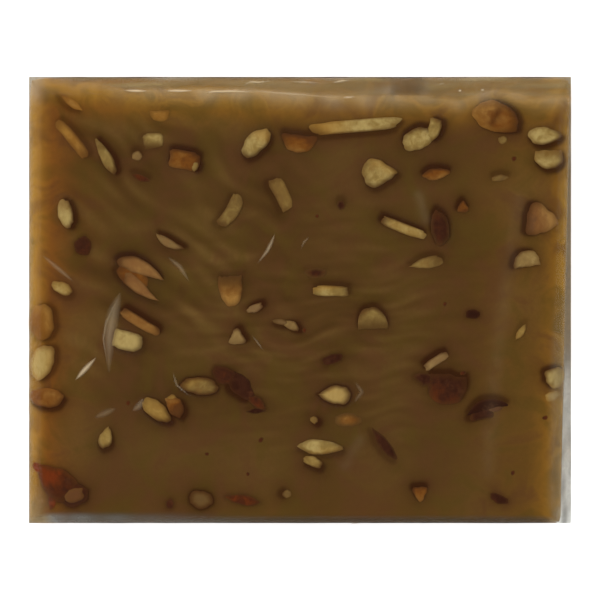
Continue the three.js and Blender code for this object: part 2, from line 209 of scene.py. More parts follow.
TOASTED = [
    Nut("oval", 53, 49.5, 13, 8.1, -20, 1, 0.9, way=-20, drop=0.7, dark=0, ring=1, split=62),
    Nut("wedge", 64.9, 21.7, 10.4, 10.6, -12, 0.8, 1.5, way=190, drop=2, dark=170, ring=1, blush=0.25),
    Nut("stick", -31.4, 37.9, 8.4, 5.2, -10, 0.8, 0.6, drop=0.5, dark=70, ring=1),
    Nut("half", -0.3, 42.3, 9.4, 4.8, 174, 0.8, 0.75, way=80, drop=1, dark=95, ring=0.8),
    Nut("drop", -42.9, 8.4, 13.6, 4.4, -23, 0.9, 0.7, dark=110, ring=1, bend=-1.1, blush=0.3),
    Nut("drop", -43.2, 3.4, 12.2, 3.6, -40, 0.8, 0.55, dark=220, bend=0.7, blush=0.3),
    Nut("oval", -45.2, 6.3, 9.4, 6, -34, 0.6, 0.3, dark=160, ring=0.8),
    Nut("stick", -43.3, -6, 11.9, 2.8, -31, 0.6, 0.55, 0.1, dark=60, ring=1, blush=0.15),
    Nut("oval", -69.9, -6, 9.7, 7, 90, 0.8, 1, 0.2, way=225, drop=1, dark=0, ring=0.8),
    Nut("oval", -68.6, -26.4, 9.4, 5.2, -4, 0.7, 0.7, way=180, drop=0.4, dark=-60, ring=1),
    Nut("half", -18.7, 2.3, 6.6, 8.4, 180, 0.8, 1.4,
        way=90, drop=1.2, melt=0.85, fade=0.5, dark=60, ring=0.4),
    Nut("chip", -33.8, -28.9, 6.8, 4.6, -50, 0.7, 0.95, way=-50, drop=1.7, melt=0.4, dark=-30, ring=1),
    Nut("wedge", 32.5, -52.2, 5, 4.6, -90, 0.6, 0.7, way=90, drop=0.7, dark=110, ring=1),
    Nut("oval", 13, -32.5, 7.5, 3.8, 0, 0.3, 0.8, drop=0.4, fade=0.95, ring=0.1),
    Nut("wedge", 44.1, 25, 3.8, 3.6, 90, 0.5, 0.2, dark=110, ring=1),
    Nut("boat", 36.8, 34.1, 7.8, 3.2, 8, 0.6, 0.8, way=100, drop=0.8, dark=100, ring=1),
    Nut("stick", -61.7, 43.6, 12.6, 3, -50, 0.3, 0.8, 0.3, way=130, veil=0.4, fade=0.85, dark=30),
    Nut("boat", -61.9, 53.4, 7.4, 2, -36, 0.3, 0.85, 0.2, fade=0.9, dark=200, ring=0.7),
    Nut("half", -37.9, 49.8, 5.4, 3, 180, 0.3, 0.55, 0.3, fade=0.7, ring=0.2),
    Nut("chip", -61, -52.8, 6.6, 4.6, 12, 0.9, -0.2, fade=0.7, dark=-45, ring=0.8, blush=0.15),
]
DARK = [
    Nut("oval", 37.9, 19.4, 9.6, 5, 98, 0.8, 0.35, dark=95, ring=1),
    Nut("oval", -58.7, 14.6, 5.2, 4.7, 90, 0.5, 0.45, fade=0.2, dark=None),
    Nut("chip", -20.6, -20.4, 7.6, 5, -25, 0.4, 0.45, fade=0.3, dark=None, ring=0.8),
    Nut("chip", -15.8, -23.4, 9.6, 5.2, -48, 0.6, 0.4, way=130, drop=0.3, fade=0.1, dark=200, ring=1),
    Nut("boat", -11.8, -27.6, 6.4, 2.8, -38, 0.4, 0.6, fade=0.5, dark=None, ring=0.7),
    Nut("half", 39.6, -24.4, 10.8, 8.4, 172, 0.4, 0.75, way=65, drop=0.6, fade=0.3, dark=70, ring=1),
    Nut("boat", 50.6, -28.9, 11.4, 3, 14, 0.5, -0.3, fade=0, dark=100, ring=0.9, bend=-1.3),
    Nut("half", 49.2, -30.7, 6.6, 3.2, 14, 0.4, 0.2, fade=0.3, dark=170, ring=0.9),
    Nut("boat", 52.9, -29.5, 4.4, 1.5, 12, 0.4, 0.5, fade=0.4, ring=0.2, blush=0.2),
    Nut("drop", -66.2, -49, 13.4, 8.6, 139, 0.8, 1.3, way=-35, drop=1, fade=0.35, dark=None),
    Nut("boat", 23, -39.3, 11, 2.8, -52, 0.4, 0.3, fade=0.4, dark=210),
    Nut("chip", 8.9, -16, 6.2, 2.9, 15, 0.4, 0.3, fade=0.2, dark=None),
    Nut("chip", 46.8, -3.8, 4.3, 2.7, 0, 0.4, -0.1, fade=0.1, dark=None),
    Nut("boat", -43, 33, 5.4, 1.8, -20, 0.3, 0.6, fade=0.5),
    Nut("chip", 11.1, 25.7, 2.9, 2.4, 90, 0.3, 0.4, fade=0.6),
    Nut("boat", -15.4, -54.1, 9.7, 2.9, -10, 0.4, 0.7, fade=0.4, dark=None, ring=0.5),
    Nut("chip", 53.8, -53.8, 5.6, 2.6, -20, 0.4, 0.4, fade=0.2, dark=None, ring=0.5),
    Nut("boat", -11.9, -30, 5.4, 1.6, 4, 0.3, 0, fade=0.5, ring=0.5),
    Nut("oval", 4.3, 7.3, 6, 2.8, 0, 0.3, 0.5, fade=0.8, ring=0.2),
    Nut("oval", -35.2, -55.2, 2.9, 2.2, 80, 0.3, 0.5, fade=0.4, dark=None, ring=0.5),
    Nut("chip", 33.8, -21.4, 6.2, 3.6, -20, 0.3, 0.25, fade=0.5, dark=None),
    Nut("chip", -61.2, -52.4, 9, 7.4, -8, 0.6, 0.55, way=-60, drop=0.3, fade=0.2, dark=None, ring=0.8),
    Nut("boat", -66.9, -54, 5.8, 2.4, 78, 0.5, 0.8, fade=0.3, ring=0.4),
    Nut("oval", -71, -45.3, 3.4, 2.4, -35, 0.5, 1.2, fade=0.3, ring=0.3),
]
TOP_NUTS = BLANCHED + TOASTED + DARK

# The kinds of nut: tones from dull to bright, the colour of the edge, and that of spots with their share.
NUT_KINDS = {
    "blanched": SimpleNamespace(
        pieces=BLANCHED,
        tones=[(0, (100, 74, 40)), (0.35, (118, 92, 47)), (0.7, (142, 116, 62)), (1, (172, 148, 90))],
        edge=(112, 78, 34), spots=(122, 84, 38), spot_share=0.35,
    ),
    "toasted": SimpleNamespace(
        pieces=TOASTED,
        tones=[(0, (88, 50, 20)), (0.35, (114, 68, 21)), (0.7, (131, 88, 37)), (1, (154, 112, 54))],
        edge=(96, 44, 13), spots=(98, 50, 16), spot_share=0.35,
    ),
    "dark": SimpleNamespace(
        pieces=DARK,
        tones=[(0, (46, 20, 8)), (0.4, (62, 31, 16)), (0.8, (86, 40, 14)), (1, (110, 46, 15))],
        edge=(46, 20, 8), spots=(100, 62, 36), spot_share=0.2,
    ),
}

# The gathered fold of film along the back edge.
FOLD_LINE = [
    (-74, 60.6), (-65, 59.5), (-55, 57.9), (-47.6, 56.6), (-12, 56.4), (0, 55.3), (10, 54.8), (32, 54.7),
    (43, 53.6), (46, 54.7), (52.5, 56.3), (59.5, 55.2), (63.5, 54.1), (74, 54.7),
]

# Soft wide ridges in the film over the top: points in plan, width, height and how pale the film is painted
# along them, as sheen.
RIDGES = [
    ([(59.5, 27.1), (55.5, 2.7), (53.6, -13.5), (52.2, -27.1), (50.9, -46)], 2, 0.2, 0.025),
    ([(32.1, 28.4), (33.8, 21.6)], 1.3, 0.2, 0.05),
    ([(12.2, -44.6), (16.2, -37.9)], 1.5, 0.2, 0.03),
]

# Thin sharp creases in the film: points in plan, width and how pale the film is painted along it, as sheen
# and glints.
CREASES = [
    ([(-48.7, 1.9), (-50.4, -3), (-51.6, -9), (-51.7, -19.5)], 4, 0.2),
    ([(-49.3, 0.5), (-52.4, -6), (-53.2, -10.5), (-52.2, -17)], 0.7, 0.2),
    ([(-60.7, -21.6), (-58.2, -18.8), (-55.2, -15.6)], 1.6, 0.72),
    ([(-11.4, 10), (-8.9, 13.2), (-7.8, 15.4), (-6.8, 17.9)], 1.2, 0.36),
    ([(0.3, 14.1), (1.2, 15.8), (2.4, 17)], 0.8, 0.14),
    ([(-35.7, 11.6), (-32.5, 9), (-30, 5.1)], 1.5, 0.16),
    ([(-69.8, 12.2), (-61.4, 5.1)], 1.5, 0.16),
    ([(-42.3, -26.6), (-43.4, -28.6), (-45.4, -30)], 2, 0.16),
    ([(-55.6, -31.9), (-49.8, -29.3)], 2.2, 0.12),
    ([(-34.4, -19.5), (-33.3, -23), (-29.8, -26)], 0.8, 0.16),
    ([(-13, -9.5), (-10, -13.5)], 0.6, 0.15),
    ([(14.9, -22.2), (16.8, -24.9), (14.6, -27.6)], 1.4, 0.1),
    ([(-47.8, 56.7), (-41.2, 56.5)], 1, 0.85),
    ([(-36.6, 56.6), (-29, 56.6)], 1, 0.8),
    ([(-25.4, 56), (-23.5, 56.4), (-18, 56.5), (-12, 56.2)], 0.9, 0.75),
    ([(-12, 56.4), (-4, 55.8), (9.7, 54.8)], 0.9, 0.35),
    ([(-15, 58.2), (-13.5, 59.2), (-11, 59), (-8, 59.5)], 0.8, 0.55),
    ([(-3, 59.3), (5.4, 58.9)], 0.8, 0.35),
    ([(8.9, 58.9), (11, 59.4), (13.5, 59.7)], 0.8, 0.6),
    ([(11.5, 54.7), (14.8, 54.9)], 0.9, 0.6),
    ([(42.8, 56.6), (43.8, 56.7)], 0.9, 0.8),
    ([(48.9, 56.8), (50, 56.9)], 0.8, 0.6),
    ([(37.8, 58.4), (39.2, 58.8)], 0.6, 0.4),
]

# Tiny dark specks, in plan.
SPECKS = [
    (57.9, 38.2), (39.2, -1.1), (44.1, -19.8), (-46.5, -27.9), (-25.2, -41.7), (-10.6, -37.9),
    (-14.1, -47.1), (66.3, -31.9), (57.6, -46.8), (4.6, 22.7), (-59.3, -12.4), (1.2, -8.2),
]


def spread(index, step, low=0, high=1):
    """Numbers spread evenly between two limits, one for each whole number."""
    return low + (high - low) * (index * step % 1)


def share_between(value, low, high):
    """How far a value has come from low to high, from 0 to 1."""
    return np.clip((value - low) / (high - low), 0, 1)


def ease(low, high, value):
    """A soft ramp from 0 at low to 1 at high."""
    share = share_between(value, low, high)
    return share * share * (3 - 2 * share)


def waves(u, v, wavelength, seed, stretch=1, count=7):
    """Smooth random waves from about -1 to 1, longer along v by stretch."""
    draw = np.random.default_rng(seed)
    total = np.zeros_like(u)
    for _ in range(count):
        angle = draw.uniform(0, 2 * pi)
        pitch = 2 * pi / (wavelength * draw.uniform(0.7, 1.5))
        phase = draw.uniform(0, 2 * pi)
        total += np.sin(pitch * (u * cos(angle) + v * sin(angle) / stretch) + phase)
    return total / sqrt(2 * count)


def radius_towards(nx, ny):
    """The slab's edge radius towards a direction in plan."""
    side = np.where(nx < 0, EDGE_RADIUS.left, EDGE_RADIUS.right)
    end = np.where(ny < 0, EDGE_RADIUS.front, EDGE_RADIUS.back)
    return side * nx * nx + end * ny * ny


def lean_at(x, y):
    """How far the leaning right wall narrows the slab at a point."""
    across = share_between(x, WALLS.left, WALLS.right)
    forward = share_between(y, WALLS.back, WALLS.front)
    return RIGHT_LEAN * across * forward


def inside_right(x, y):
    """How far points in plan lie inside the leaning right wall."""
    return WALLS.right - lean_at(x, y) - x


def height_at(x, y):
    """Height of the slab's top and rounded edges over points in plan."""
    straight = x + lean_at(x, y)
    dx = straight - np.clip(straight, CORE.left, CORE.right)
    dy = y - np.clip(y, CORE.front, CORE.back)
    reach = np.hypot(dx, dy)
    safe = np.where(reach > 0, reach, 1)
    radius = np.where(reach > 0, radius_towards(dx / safe, dy / safe), 1)
    drop = radius - np.sqrt(np.maximum(radius * radius - reach * reach, 0))
    return SLAB_HEIGHT - np.where(reach > 0, drop, 0)


def cells_across(core_cells, edge_cells):
    """Grid lines across a sheet: their share of its core, and of its edge, negative before the core."""
    start = edge_cells
    end = start + core_cells
    line = np.arange(end + edge_cells + 1)
    edge = share_between(line, end, end + edge_cells) - share_between(line, start, 0)
    return share_between(line, start, end), edge


def sheet_grid(cells_x, cells_y, edge_cells):
    """A grid over the slab: the core point under each vertex, its share of the edge and its way outward.

    square_x and square_y run round a square, and round_x and round_y round the slab's softer corners.
    """
    core_x, edge_x = cells_across(cells_x, edge_cells)
    core_y, edge_y = cells_across(cells_y, edge_cells)
    x, y = np.meshgrid(
        CORE.left + core_x * (CORE.right - CORE.left),
        CORE.front + core_y * (CORE.back - CORE.front),
        indexing="ij",
    )
    edge_x, edge_y = np.meshgrid(edge_x, edge_y, indexing="ij")
    shape = x.shape
    x, y, edge_x, edge_y = [values.ravel() for values in (x, y, edge_x, edge_y)]
    share = np.maximum(np.abs(edge_x), np.abs(edge_y))
    safe = np.where(share > 0, share, 1)
    square_x, square_y = edge_x / safe, edge_y / safe
    round_x = square_x * np.sqrt(1 - CORNER_ROUND * square_y ** 2 / 2)
    round_y = square_y * np.sqrt(1 - CORNER_ROUND * square_x ** 2 / 2)
    length = np.where(share > 0, np.hypot(round_x, round_y), 1)
    return SimpleNamespace(
        shape=shape, x=x, y=y, share=share, square_x=square_x, square_y=square_y,
        round_x=round_x, round_y=round_y, nx=round_x / length, ny=round_y / length,
        side=np.where(edge_x < 0, EDGE_RADIUS.left, EDGE_RADIUS.right),
        end=np.where(edge_y < 0, EDGE_RADIUS.front, EDGE_RADIUS.back),
    )


def grid_faces(shape, flip=False):
    """Four-cornered faces of a grid, facing up, or down if flipped."""
    index = np.arange(shape[0] * shape[1]).reshape(shape)
    corners = [index[:-1, :-1], index[1:, :-1], index[1:, 1:], index[:-1, 1:]]
    if flip:
        corners.reverse()
    return np.stack([corner.ravel() for corner in corners], axis=1).tolist()


def down_the_walls(grid, edge_end, wall_end, low):
    """Bend of a sheet over the slab's edge, its share of the way down the walls, and its height there."""
    radius = radius_towards(grid.nx, grid.ny)
    arc = share_between(grid.share, 0, edge_end) * pi / 2
    down = share_between(grid.share, edge_end, wall_end)
    height = SLAB_HEIGHT - radius * (1 - np.cos(arc)) - down * (SLAB_HEIGHT - radius - low)
    return arc, down, height


def around_slab(grid, bend, past):
    """Places in plan of a sheet's vertices, a share of the edge radius and a distance past the core."""
    x = grid.x + grid.round_x * (grid.side * bend + past)
    y = grid.y + grid.round_y * (grid.end * bend + past)
    return x - lean_at(x, y), y


def pushed_out(grid, x, y, height, tilt, offset):
    """Vertices of a sheet pushed out of it by an offset, square to its tilt."""
    return np.stack([
        x + grid.nx * np.sin(tilt) * offset,
        y + grid.ny * np.sin(tilt) * offset,
        height + np.cos(tilt) * offset,
    ], axis=1)


def chip_reach(angle, index):
    """Reach of an uneven six-sided chip at angles round it, different for each chip."""
    reach = np.full(angle.shape, 1.1)
    for side in range(6):
        facing = pi / 3 * side + spread(5 * index + side, 0.414, -0.3, 0.3)
        away = spread(7 * index + side, 0.618, 0.76, 1)
        reach = np.minimum(reach, away / np.maximum(np.cos(angle - facing), 0.2))
    return reach


def unit_outline(kind, angle, index):
    """Along and across of a nut outline at angles round it. Each reaches about 1 both ways."""
    along, across = np.cos(angle), np.sin(angle)
    if kind == "drop":
        return along, 1.3 * across * np.abs(np.sin(angle / 2))
    if kind == "boat":
        return along, np.sign(across) * np.abs(across) ** 1.6
    if kind == "stick":
        return np.sign(along) * np.abs(along) ** 0.5, np.sign(across) * np.abs(across) ** 0.5
    if kind == "half":
        return along, (np.maximum(across, -0.35) - 0.325) / 0.675
    reach = 1
    if kind == "wedge":
        facet = np.minimum(1, 0.58 / np.cos(np.mod(angle, 2 * pi / 3) - pi / 3))
        soft = 0.85 + 0.15 * np.cos(3 * angle)
        reach = WEDGE_FACET * facet + (1 - WEDGE_FACET) * soft
    if kind == "chip":
        reach = (1 - CHIP_UNEVEN) * CHIP_ROUND + CHIP_UNEVEN * chip_reach(angle, index)
    return reach * along, reach * across


def nut_outline(piece, index, count):
    """Along and across of points round a nut piece, before it is bowed and turned."""
    angle = np.arange(count) * 2 * pi / count
    along, across = unit_outline(piece.outline, angle, index)
    wave = 1 + sum(depth * np.sin(times * angle + shift * index) for times, depth, shift in NUT_WAVES)
    return along * wave * piece.length / 2, across * wave * piece.width / 2


def laid(piece, along, across):
    """Points of a nut piece about its middle, bowed and turned as it lies."""
    across = across + piece.bend * ((2 * along / piece.length) ** 2 - 0.4)
    turn = radians(piece.turn)
    return np.stack([
        along * cos(turn) - across * sin(turn),
        along * sin(turn) + across * cos(turn),
    ], axis=1)


def distance_to_line(x, y, starts, ends):
    """Distance from points in plan to the nearest of some straight lines."""
    best = np.full(x.shape, np.inf)
    for (ax, ay), (bx, by) in zip(starts, ends):
        dx, dy = bx - ax, by - ay
        share = np.clip(((x - ax) * dx + (y - ay) * dy) / max(dx * dx + dy * dy, 1e-9), 0, 1)
        best = np.minimum(best, np.hypot(x - ax - share * dx, y - ay - share * dy))
    return best


def inside_loop(x, y, loop):
    """Whether points in plan lie inside a closed loop."""
    inside = np.zeros(x.shape, dtype=bool)
    for (ax, ay), (bx, by) in zip(loop, np.roll(loop, -1, axis=0)):
        crosses = (ay > y) != (by > y)
        height = by - ay if by != ay else 1e-9
        inside ^= crosses & (x < ax + (y - ay) * (bx - ax) / height)
    return inside


def near_outline(x, y, piece, index, margin, shift=(0, 0)):
    """Which points are near a nut piece, and how far outside its outline, negative inside it."""
    outline = laid(piece, *nut_outline(piece, index, OUTLINE_POINTS))
    loop = outline + (piece.x + shift[0], piece.y + shift[1])
    low = loop.min(axis=0) - margin
    high = loop.max(axis=0) + margin
    near = np.flatnonzero((x > low[0]) & (x < high[0]) & (y > low[1]) & (y < high[1]))
    distance = distance_to_line(x[near], y[near], loop, np.roll(loop, -1, axis=0))
    distance[inside_loop(x[near], y[near], loop)] *= -1
    return near, distance


def wall_sides():
    """The four walls: middle, outward direction, run along the wall, and the top of its upright part."""
    middle = [(WALLS.left + WALLS.right) / 2, (WALLS.front + WALLS.back) / 2]
    half = [(WALLS.right - WALLS.left) / 2, (WALLS.back - WALLS.front) / 2]
    runs = [CORE.right - CORE.left, CORE.back - CORE.front]
    return [
        SimpleNamespace(
            x=middle[0] + nx * half[0], y=middle[1] + ny * half[1], nx=nx, ny=ny, run=runs[abs(nx)],
            top=SLAB_HEIGHT - float(radius_towards(nx, ny)),
        )
        for nx, ny in [(0, -1), (1, 0), (0, 1), (-1, 0)]
    ]


def scattered_nut(form, index, x, y):
    """A nut piece away from the top, its size and looks spread between its form's limits."""
    return Nut(
        form.outlines[index % len(form.outlines)], x, y,
        spread(index, 0.414, *form.length),
        spread(index, 0.732, *form.width),
        spread(index, 0.236, *form.turn),
        form.rise,
        spread(index, 0.573, 0.3, 1),
        spread(index, 0.345, *form.cover),
    )


def wall_nuts():
    """Nut pieces in the walls, each with its wall. Their x runs along the wall and y is the height."""
    placed = []
    for side in wall_sides():
        count = int(side.run // WALL_NUT.spacing)
        for step in range(count):
            index = len(placed) + 1
            along = (step + 0.5 - count / 2) * side.run / count + spread(index, 0.755, *WALL_NUT.wander)
            height = spread(index, 0.618, WALL_NUT.lowest, side.top - WALL_NUT.clearance)
            placed.append((index, side, scattered_nut(WALL_NUT, index, along, height)))
    return placed


def under_nuts():
    """Nut pieces that show in the underside, spread evenly over it."""
    return [
        scattered_nut(
            UNDER_NUT, index,
            spread(index, 0.7549, CORE.left, CORE.right - RIGHT_LEAN),
            spread(index, 0.5698, CORE.front, CORE.back),
        )
        for index in range(1, UNDER_NUT.count + 1)
    ]


WALL_NUTS = wall_nuts()
UNDERSIDE = under_nuts()


def along_way(flat, way):
    """How far points round a middle lie in a direction, given in degrees."""
    turn = radians(way)
    return flat[:, 0] * cos(turn) + flat[:, 1] * sin(turn)


def groove_depth(piece, flat):
    """How deep in a groove each point of a nut piece lies, from 0 to 1."""
    if piece.split is None:
        return np.zeros(len(flat))
    aside = along_way(flat, piece.split + 90)
    forward = np.abs(along_way(flat, piece.split)) / piece.length
    return np.exp(-((aside / GROOVE_WIDTH) ** 2)) * (1 - ease(0.12, 0.34, forward))


def share_toward(flat, way):
    """How far points round a middle lie in a direction, from -1 to 1."""
    along = along_way(flat, way)
    return along / max(np.abs(along).max(), 1e-9)


def nut_looks(piece, flat, rim, groove):
    """Values on a nut's vertices that its material reads."""
    toward = share_toward(flat, piece.way)
    dark_side = 1 if piece.dark is None else ease(-0.5, 0.8, share_toward(flat, piece.dark))
    x = np.full(len(rim), piece.x)
    y = np.full(len(rim), piece.y)
    fade = piece.fade * ease(0.7 * (1 - piece.fade ** 2), 1, rim)
    return {
        "rim": rim,
        "groove": groove,
        "blush": np.full(len(rim), piece.blush),
        "glow": edge_glow(x, y, 0),
        "tone": piece.tone - piece.drop * (0.5 + 0.5 * toward),
        "cover": np.clip(piece.cover + piece.veil * ease(-0.1, 0.7, toward), 0, 1),
        "fade": np.maximum(fade, piece.melt * ease(-0.3, 0.8, toward)),
        "shade": piece.ring * dark_side * ease(0.45, 1.05, rim),
    }


def nut_mesh(piece, index, place):
    """Vertices, faces and looks of one nut piece, put where it sits by place."""
    polar = np.arange(1, NUT_RINGS + 1) / NUT_RINGS * pi / 2
    rings = np.sin(polar) ** NUT_DOME
    dome = np.append(np.cos(polar) ** NUT_DOME * piece.height, -NUT_BURY)
    along, across = [
        np.concatenate([[0], np.outer(np.append(rings, NUT_TAPER), edge).ravel(), [0]])
        for edge in nut_outline(piece, index, NUT_SEGMENTS)
    ]
    flat = laid(piece, along, across)
    out = np.concatenate([[piece.height], np.repeat(dome, NUT_SEGMENTS), [-NUT_BURY]])
    rim = np.concatenate([[0], np.repeat(np.append(rings, 1), NUT_SEGMENTS), [1]])
    tilt = along_way(flat, degrees(2.4 * index)) / max(piece.length, 1)
    grain = waves(flat[:, 0] + 9 * index, flat[:, 1] - 7 * index, 1.9, seed=index)
    groove = groove_depth(piece, flat)
    relief = NUT_GRAIN * grain + piece.height * (NUT_TILT * tilt - GROOVE_DEPTH * groove)
    out = out + (1 - rim ** 8) * relief
    vertices = place(piece, flat[:, 0], flat[:, 1], out - NUT_SINK)
    last = len(vertices) - 1
    ring = 1 + np.arange((NUT_RINGS + 1) * NUT_SEGMENTS).reshape(NUT_RINGS + 1, NUT_SEGMENTS)
    turned = np.roll(ring, -1, axis=1)
    faces = [(0, a, b) for a, b in zip(ring[0], turned[0])]
    for row in range(NUT_RINGS):
        faces += zip(ring[row], ring[row + 1], turned[row + 1], turned[row])
    faces += [(last, b, a) for a, b in zip(ring[-1], turned[-1])]
    return vertices, faces, nut_looks(piece, flat, rim, groove)


def on_top(piece, along, across, out):
    """Vertices of a nut piece on the top, following the slab's surface."""
    x, y = piece.x + along, piece.y + across
    return np.stack([x, y, height_at(x, y) + out], axis=1)


def on_wall(side, piece, along, across, out):
    """Vertices of a nut piece in a wall."""
    x = side.x - side.ny * (piece.x + along) + side.nx * out
    y = side.y + side.nx * (piece.x + along) + side.ny * out
    return np.stack([x - lean_at(x, y), y, piece.y + across], axis=1)


def underneath(piece, along, across, out):
    """Vertices of a nut piece in the underside, facing down."""
    return np.stack([piece.x + along, piece.y - across, FILM_GAP - out], axis=1)


def join_meshes(meshes):
    """Joins meshes of vertices, faces and looks into one."""
    vertices, faces, looks = zip(*meshes)
    starts = np.cumsum([0] + [len(points) for points in vertices])
    joined = [[corner + start for corner in face] for start, part in zip(starts, faces) for face in part]
    values = {name: np.concatenate([look[name] for look in looks]) for name in looks[0]}
    return np.concatenate(vertices), joined, values


def add_object(name, data):
    """A new object in the scene."""
    added = bpy.data.objects.new(name, data)
    bpy.context.scene.collection.objects.link(added)
    return added


def add_piece(name, vertices, faces, looks, material, slot):
    """One smooth piece of the object, with its looks as named values on its vertices."""
    mesh = bpy.data.meshes.new(name)
    mesh.from_pydata((vertices * MM).tolist(), [], [tuple(map(int, face)) for face in faces])
    mesh.polygons.foreach_set("use_smooth", np.ones(len(mesh.polygons), dtype=bool))
    for look, values in looks.items():
        attribute = mesh.attributes.new(look, "FLOAT", "POINT")
        attribute.data.foreach_set("value", np.asarray(values, dtype=np.float32))
    mesh.materials.append(material)
    mesh.update()
    piece = add_object(name, mesh)
    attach(piece, BODY)
    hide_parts(NODE)


def past_fold(x, y):
    """How far points in plan lie behind the gathered fold of film."""
    fold_x, fold_y = np.transpose(FOLD_LINE)
    return y - np.interp(x, fold_x, fold_y)


def edge_glow(x, y, sunk):
    """How golden the sweet is near and down its walls, where light comes through it."""
    forward = share_between(y, WALLS.back, WALLS.front)
    to_right = inside_right(x, y)
    sides = [
        (x - WALLS.left, 0.82, 8 - 2.2 * forward, 1.15),
        (to_right, 0.8, 3.4 + 3.4 * forward, 1.2),
        (to_right, 0.16, 22, 2),
        (WALLS.back - y, 0.75 + x / 1200, 10.8 + x / 60, 2.6),
        (y - WALLS.front, 0.08, 8, 1),
    ]
    glow = np.zeros_like(x)
    for distance, strength, length, fall in sides:
        glow = np.maximum(glow, strength * np.exp(-((np.maximum(distance, 0) / length) ** fall)))
    under_fold = ease(-0.5, 2.5, past_fold(x, y)) * (1 - 0.7 * ease(64, 70, x))
    return glow * (1 - 0.5 * under_fold) * (1 - 0.6 * sunk) + 0.2 * sunk


def nut_shade(x, y):
    """How much darker the sweet is beside its nuts: a tight shadow on one side, and a wide soft one."""
    shade = np.zeros_like(x)
    for index, piece in enumerate(TOP_NUTS):
        shift = (0, 0)
        if piece.dark is not None:
            turn = radians(piece.dark)
            shift = (cos(turn), sin(turn))
        near, distance = near_outline(x, y, piece, index, 5, shift)
        outside = np.maximum(distance, 0)
        tight = np.exp(-((outside / 0.9) ** 1.5))
        wide = 0.35 * np.exp(-((outside / 2.4) ** 2))
        shade[near] = np.maximum(shade[near], piece.ring * np.maximum(tight, wide))
    return shade


def sweet_mottle(x, y):
    """Faint streaks in the sweet, from -1 to 1: slanting at the back left, level in the middle."""
    slant = radians(32)
    across = x * sin(slant) + y * cos(slant)
    along = x * cos(slant) - y * sin(slant)
    bend = 2 * waves(x, y, 24, seed=8)
    slanting = waves(across + bend, along, 5, seed=6, stretch=5)
    slanting *= ease(20, -30, x) * ease(-40, 5, y)
    level = waves(y + bend, x, 3, seed=5, stretch=6)
    level *= np.exp(-((x - 6) / 40) ** 2 - ((y + 8) / 28) ** 2)
    return np.clip(0.5 * slanting + 0.42 * level + 0.4 * waves(x, y, 30, seed=7), -1, 1)


def halva_mesh():
    """The sweet itself: a slab with soft edges and slight ripples."""
    grid = sheet_grid(*HALVA_CELLS)
    edge_end, foot_start = 0.42, 0.92
    arc, down, height = down_the_walls(grid, edge_end, foot_start, FOOT_RADIUS)
    foot = share_between(grid.share, foot_start, 1) * pi / 2
    height -= FOOT_RADIUS * np.sin(foot)
    x, y = around_slab(grid, np.sin(arc), FOOT_RADIUS * (np.cos(foot) - 1))
    offset = 0.05 * waves(x, y, 26, seed=3) + 0.02 * waves(x, y, 7, seed=4) - FILM_GAP
    vertices = pushed_out(grid, x, y, height, arc + foot, offset)
    faces = grid_faces(grid.shape)
    index = np.arange(len(vertices)).reshape(grid.shape)
    rim = np.concatenate([index[:-1, 0], index[-1, :-1], index[:0:-1, -1], index[0, :0:-1]])
    faces.append(rim[::-1].tolist())
    glow = edge_glow(x, y, down)
    looks = {
        "glow": glow,
        "shade": nut_shade(x, y) * (1 - ease(0.3, 0.5, grid.share)),
        "mottle": sweet_mottle(x, y) * (1 - ease(0.05, 0.35, glow)),
    }
    return vertices, faces, looks


def top_lift(x, y):
    """How far the upper film stands off the top over its nuts, with slight swells."""
    lift = np.zeros_like(x)
    for index, piece in enumerate(TOP_NUTS):
        near, distance = near_outline(x, y, piece, index, 4)
        tent = piece.height * (1 - ease(-piece.width / 4, 2.5, distance))
        lift[near] = np.maximum(lift[near], tent)
    return lift + 0.05 * waves(x, y, 18, seed=23)


def wall_lift(x, y, height, grid, on_upper):
    """How far the upper film stands off the walls over their nuts."""
    lift = np.zeros_like(x)
    for index, side, piece in WALL_NUTS:
        facing = np.flatnonzero((grid.nx * side.nx + grid.ny * side.ny > 0.99) & (on_upper < 0.5))
        along = side.nx * (y[facing] - side.y) - side.ny * (x[facing] - side.x)
        near, distance = near_outline(along, height[facing], piece, index, 4)
        tent = piece.height * (1 - ease(-piece.width / 4, 2, distance))
        lift[facing[near]] = np.maximum(lift[facing[near]], tent)
    return lift


def film_ridges(x, y):
    """Soft ridges and the back fold in the upper film, and how pale it turns along them: haze, with painted
    sheen.
    """
    ridge = np.zeros_like(x)
    haze = np.zeros_like(x)
    for points, width, rise, pale in RIDGES:
        distance = distance_to_line(x, y, points[:-1], points[1:])
        profile = np.exp(-((distance / width) ** 2)) * (0.75 + 0.25 * waves(x, y, 5, seed=11))
        ridge = np.maximum(ridge, rise * profile)
        haze = np.maximum(haze, pale * profile)
    fold = past_fold(x, y)
    fold_profile = np.exp(-((fold / 0.8) ** 2)) * (0.7 + 0.3 * waves(x, y, 12, seed=12))
    before = 0.19 * np.exp(-((np.minimum(fold, 0) / 2.7) ** 2)) * ease(1, 0, fold)
    before *= (0.1 + 0.9 * ease(-62, -15, x)) * (1 - 0.45 * ease(15, 35, x))
    # Haze of the gathered film by the back fold, with painted sheen along the fold line.
    band = (0.04 * ease(-3, 0, fold) + before) * (1 + 0.4 * waves(x, y, 9, seed=13))
    haze = np.maximum(haze, band + 0.08 * fold_profile)
    gather = ease(0.2, 1.5, fold) * 0.25 * np.maximum(waves(y, x, 2.6, seed=14, stretch=9), -0.2)
    return ridge + 0.6 * fold_profile + gather, np.clip(haze, 0, 1)


